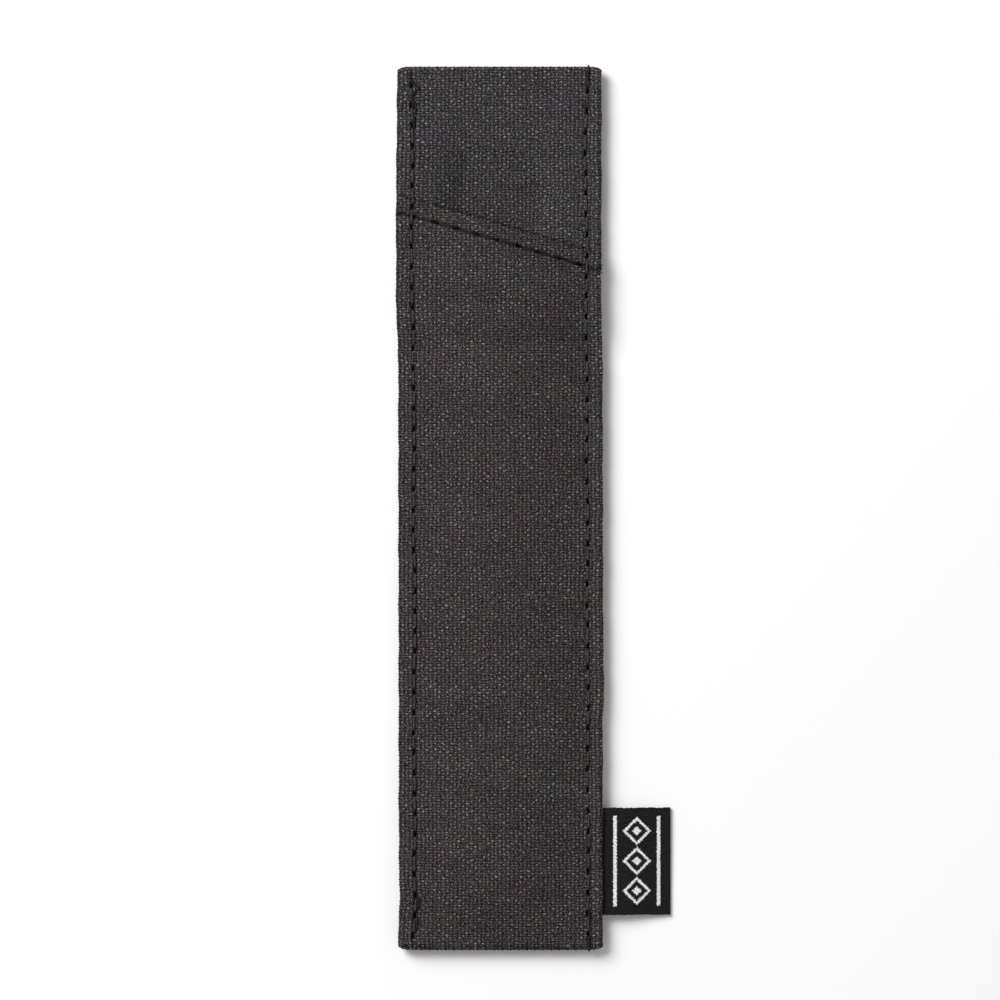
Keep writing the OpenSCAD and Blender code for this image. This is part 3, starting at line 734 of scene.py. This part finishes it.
# Frayed ends of the hem's thread at both side edges: a knot of loose filaments, a millimetre long
# at the right, where the seam ends, and half as long at the left, where it starts.
FILAMENTS, FILAMENT_R = 9, 0.09
fray = np.random.default_rng(5)
for side, label in ((-1, "left"), (1, "right")):
    size = 0.5 if side < 0 else 1.0
    end_x = side * (HALF_W - 0.8 * size)
    end_y = mouth_y(end_x) - HEM_IN
    end_z = front_edge_z(50.0) + 2 * LAYER + 0.06
    end = np.array([moved(np.array(end_x), mouth_y(end_x)), end_y, end_z])
    tails = []
    for _ in range(FILAMENTS):
        along = np.linspace(0, 1, 9)[:, None]
        reach = size * np.array([
            side * fray.uniform(0.3, 1.25), fray.uniform(-1.0, 0.8), fray.uniform(-0.4, 0.12),
        ])
        curl = np.array([0, fray.uniform(-0.4, 0.4), fray.uniform(-0.2, 0.3)])
        root = np.array([side * 0.25, 0, 0])
        tails.append(end + along * reach + along ** 2 * curl - root * (1 - along))
    tuft = thread_piece(
        f"hem_thread_tail_{label}", tails, [np.array([0, 0, 1.0])] * FILAMENTS, dark_shaded_thread,
        radius=FILAMENT_R, sides=5,
    )
    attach(tuft, "sleeve")


# The side label: one woven tape, folded into a loop, with both ends caught in the right seam.
# Outside the seam it droops, and its ground and its ornament are woven from black and white yarn.
TAPE_T, TAPE_YARN = 0.19, 0.16
TAPE_LINT = 3300.0        # noise cells to a metre: 0.3 mm each
ORNAMENT_X, ORNAMENT_PITCH = 6.4, 5.6  # its middle line, from the sleeve's edge, and its repeat
FLOAT_L = 0.5             # from one slanting white float to the next
TAPE_ROWS, RAGGED = 81, 0.09  # rows of the tape's mesh, and how far its cut edges stray
label_high = np.array(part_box("side_label")[1]) / MM
TAIL_X, DROOP = 14.2, 1.55  # where the tape's ends lie, and how far its fold hangs down
loop_r = 0.2
loop_x = label_high[0] - loop_r - TAPE_T / 2


def label_tape():
    """Black taffeta tape with a white ornament: three nested lozenges between two rails, drawn from
    distances on the tape, frayed by noise and stepped to its yarns. The white floats lie aslant."""
    material, tree = new_material("woven_taffeta_tape")
    tape = node(tree, "UVMap", uv_map="strip").outputs[0]
    yarn = TAPE_YARN * MM
    lint = node(tree, "TexNoise", {"Vector": tape, "Scale": TAPE_LINT, "Detail": 2.0})
    sway = node(
        tree, "VectorMath", {0: lint.outputs["Color"], 1: (-0.5, -0.5, -0.5)}, operation="ADD"
    ).outputs[0]
    sway = node(tree, "VectorMath", {0: sway, "Scale": 0.7 * MM}, operation="SCALE").outputs[0]
    frayed = node(tree, "VectorMath", {0: tape, 1: sway}, operation="ADD").outputs[0]
    stepped = node(
        tree, "VectorMath", {0: frayed, 1: (yarn, yarn, yarn)}, operation="SNAP"
    ).outputs[0]
    place = node(tree, "SeparateXYZ", {0: stepped})
    out, up = place.outputs[0], place.outputs[1]
    pitch = ORNAMENT_PITCH * MM
    wrapped = node(tree, "Math", {0: up, 1: pitch / 2, 2: -pitch / 2}, operation="WRAP").outputs[0]
    from_middle = node(tree, "Math", {0: wrapped}, operation="ABSOLUTE").outputs[0]
    beside = node(tree, "Math", {0: out, 1: -ORNAMENT_X * MM}, operation="ADD").outputs[0]
    beside = node(tree, "Math", {0: beside}, operation="ABSOLUTE").outputs[0]
    lozenge = node(tree, "Math", {0: from_middle, 1: beside}, operation="ADD").outputs[0]
    lines = []
    for distance, at, half in ((lozenge, 2.3, 0.36), (lozenge, 0.0, 0.85), (beside, 4.1, 0.3)):
        gap = node(tree, "Math", {0: distance, 1: at * MM, 2: half * MM}, operation="COMPARE")
        lines.append(gap.outputs[0])
    drawn = node(tree, "Math", {0: lines[0], 1: lines[1]}, operation="MAXIMUM").outputs[0]
    drawn = node(tree, "Math", {0: drawn, 1: lines[2]}, operation="MAXIMUM").outputs[0]
    half_w = (LABEL_W / 2 - 1.6) * MM
    within = node(tree, "Math", {0: up, 1: 0.0, 2: half_w}, operation="COMPARE").outputs[0]
    drawn = node(tree, "Math", {0: drawn, 1: within}, operation="MULTIPLY").outputs[0]
    ribs = node(tree, "VectorMath", {0: tape, "Scale": np.pi / yarn}, operation="SCALE").outputs[0]
    ribs = node(tree, "VectorMath", {0: ribs}, operation="SINE").outputs[0]
    ribs = node(tree, "VectorMath", {0: ribs}, operation="ABSOLUTE").outputs[0]
    rib = node(tree, "SeparateXYZ", {0: ribs})
    cell = node(tree, "Math", {0: rib.outputs[0], 1: rib.outputs[1]}, operation="MULTIPLY").outputs[0]
    ground = node(tree, "MixRGB", {0: cell, 1: linear("#141314"), 2: linear("#2d2c2d")}).outputs[0]
    fibre = lint.outputs["Fac"]
    tone = node(
        tree, "MapRange",
        {"Value": fibre, "From Min": 0.33, "From Max": 0.67, "To Min": 0.35, "To Max": 1.75},
    ).outputs[0]
    ground = node(tree, "VectorMath", {0: ground, "Scale": tone}, operation="SCALE").outputs[0]
    turn = 2 * np.pi / (FLOAT_L * MM)
    slant = node(
        tree, "VectorMath", {0: frayed, 1: (0.6 * turn, 0.8 * turn, 0)}, operation="DOT_PRODUCT"
    ).outputs["Value"]
    slant = node(tree, "Math", {0: slant}, operation="SINE").outputs[0]
    float_tone = node(tree, "MapRange", {"Value": slant, "From Min": -1.0}).outputs[0]
    white = node(tree, "MixRGB", {0: float_tone, 1: linear("#d6d5d3"), 2: linear("#ffffff")}).outputs[0]
    colour = node(tree, "MixRGB", {0: drawn, 1: ground, 2: white}).outputs[0]
    raised = node(tree, "Math", {0: drawn, 1: 0.6, 2: cell}, operation="MULTIPLY_ADD").outputs[0]
    bump = node(tree, "Bump", {"Height": raised, "Strength": 0.5, "Distance": 0.06 * MM}).outputs[0]
    finish_material(tree, colour, bump, roughness=0.75, specular=0.05)
    return material


tape_out = np.linspace(TAIL_X, loop_x, 60)
bend = np.linspace(0, np.pi, 11)
bulge = 0.1 + (loop_r - 0.1) * ease((tape_out - HALF_W) / 5)
profile_x = np.concatenate([tape_out, loop_x + loop_r * np.sin(bend[1:-1]), tape_out[::-1]])
profile_z = np.concatenate([bulge, loop_r * np.cos(bend[1:-1]), -bulge[::-1]])
droop = DROOP * ease((profile_x - HALF_W) / (label_high[0] - HALF_W) * 0.8)
tape_rows = np.linspace(-LABEL_W / 2, LABEL_W / 2, TAPE_ROWS)
ragged = np.random.default_rng(3).uniform(-1, 1, (TAPE_ROWS, len(profile_x)))
border = np.zeros((TAPE_ROWS, 1))
border[[0, -1]] = RAGGED
grid_x = np.broadcast_to(profile_x[None, :], ragged.shape)
grid_y = LABEL_Y + tape_rows[:, None] + border * ragged
wave = 0.06 * np.sin(tape_rows / 4.5)[:, None] * ease((profile_x - 21) / 10)
grid_z = STACK_Z + profile_z[None, :] - droop[None, :] + wave
tape = sheet_piece(
    "side_label_loop", np.stack([grid_x, grid_y, grid_z], -1), grid_x - HALF_W, grid_y - LABEL_Y,
    TAPE_T, [label_tape()] * 2,
)
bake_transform(tape)
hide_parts("side_label", "label_tail")


# The table: a plain white floor that keeps the shadow, as white to the camera as the paper under it.
FLOOR_R = 2.0             # metres
PAPER_WHITE, PAPER_GLOW = 0.97, 0.04
floor_mesh = bpy.data.meshes.new("floor")
corners = [(x * FLOOR_R, y * FLOOR_R, 0) for x, y in ((-1, -1), (1, -1), (1, 1), (-1, 1))]
floor_mesh.from_pydata(corners, [], [(0, 1, 2, 3)])
floor = bpy.data.objects.new("floor", floor_mesh)
bpy.context.scene.collection.objects.link(floor)
white_floor, tree = new_material("white_table")
rays = node(tree, "LightPath")
seen = rays.outputs["Is Camera Ray"]
for ray in ("Is Glossy Ray", "Is Transmission Ray"):
    seen = node(tree, "Math", {0: seen, 1: rays.outputs[ray]}, operation="MAXIMUM").outputs[0]
glow = node(tree, "Math", {0: seen, 1: PAPER_GLOW}, operation="MULTIPLY")
emission = node(tree, "Emission", {"Color": (1, 1, 1, 1), "Strength": glow.outputs[0]})
matte = node(tree, "BsdfDiffuse", {"Color": (PAPER_WHITE, PAPER_WHITE, PAPER_WHITE, 1)})
both = node(tree, "AddShader", {0: emission.outputs[0], 1: matte.outputs[0]})
node(tree, "OutputMaterial", {"Surface": both.outputs[0]})
floor_mesh.materials.append(white_floor)

# Soft studio light: a pale surround, and one large lamp at the upper left that casts the shadow.
# The lamp's power gives a level floor its share of the light, by its distance and its slant.
SURROUND_LIGHT, KEY_LIGHT = 0.34, 0.77
world = bpy.data.worlds.new("surround")
bpy.context.scene.world = world
world.use_nodes = True
world.node_tree.nodes.clear()
rays = node(world.node_tree, "LightPath")
direct = node(
    world.node_tree, "Mix", {0: rays.outputs["Is Camera Ray"], 2: SURROUND_LIGHT, 3: 1.0},
    data_type="FLOAT",
)
background = node(
    world.node_tree, "Background", {"Color": (1, 1, 1, 1), "Strength": direct.outputs[0]}
)
node(world.node_tree, "OutputWorld", {"Surface": background.outputs[0]})
lamp = bpy.data.lights.new("key", "AREA")
lamp.shape = "SQUARE"
lamp.size = 0.85
key_place = Vector((-0.85, 0.8, 0.95))
slant = key_place.z / key_place.length
lamp.energy = KEY_LIGHT * np.pi ** 2 * key_place.length_squared / slant
key = bpy.data.objects.new("key", lamp)
key.location = key_place
key.rotation_euler = key_place.to_track_quat("Z", "Y").to_euler()
bpy.context.scene.collection.objects.link(key)

# The camera looks straight down, with the open end of the sleeve at the top of the picture.
PIXELS_PER_MM = 5.355
FRAME_MM = 1000 / PIXELS_PER_MM
CENTRE_X, CENTRE_Y = -0.09, 1.54
CAMERA_Z, SENSOR_W = 1200.0, 36
camera_data = bpy.data.cameras.new("camera")
camera_data.sensor_width = SENSOR_W
camera_data.lens = SENSOR_W * (CAMERA_Z - facing_high[2]) / FRAME_MM
camera_data.clip_start = 0.01
camera = bpy.data.objects.new("camera", camera_data)
camera.location = (CENTRE_X * MM, CENTRE_Y * MM, CAMERA_Z * MM)
bpy.context.scene.collection.objects.link(camera)
bpy.context.scene.camera = camera
bpy.context.scene.view_settings.view_transform = "Standard"
